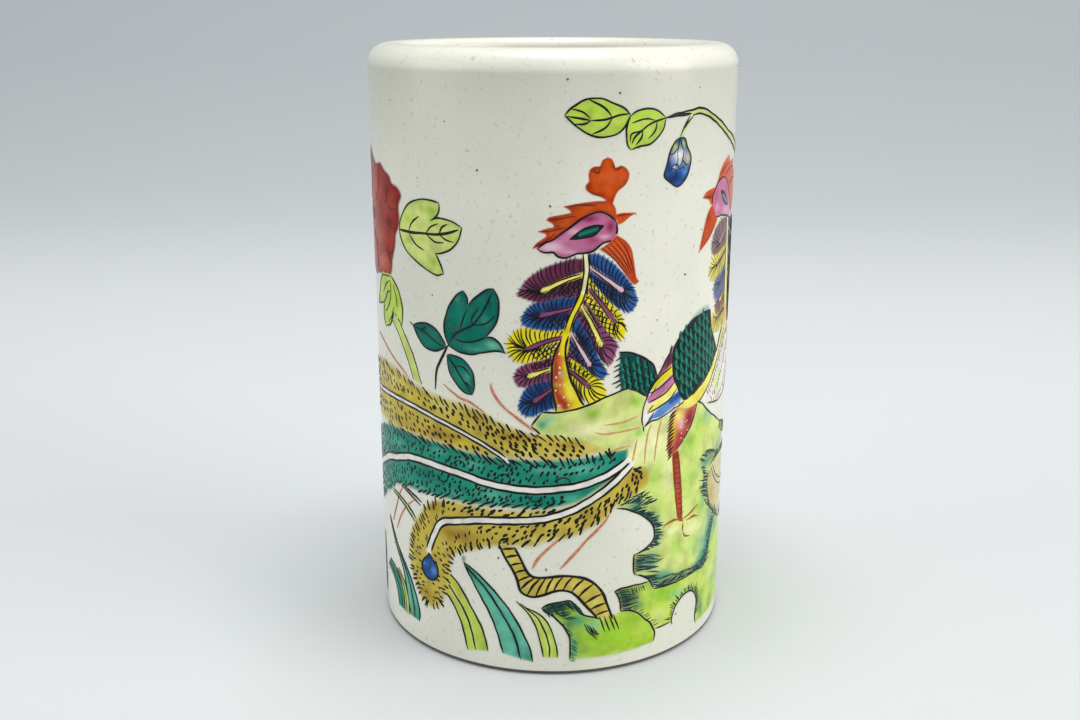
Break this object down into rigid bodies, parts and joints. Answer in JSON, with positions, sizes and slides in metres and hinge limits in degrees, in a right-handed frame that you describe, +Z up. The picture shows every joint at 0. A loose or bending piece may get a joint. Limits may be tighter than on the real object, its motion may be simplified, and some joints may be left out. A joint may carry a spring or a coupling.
{
  "type": "brush pot",
  "caption": "Upright porcelain cylinder pot with a rounded, turned-in rim, a recessed foot and raised enamel decoration, for holding brushes.",
  "frame": {"origin": "middle of the foot, on the table", "axes": "+Z up along the pot's axis, -Y towards the middle of the picture"},
  "size_m": [0.075, 0.075, 0.123],
  "materials": {
    "glaze": "glossy grey-white glaze with iron specks"
  },
  "bodies": {
    "root": {"wall": "glaze", "base": "glaze"}
  },
  "joints": []
}
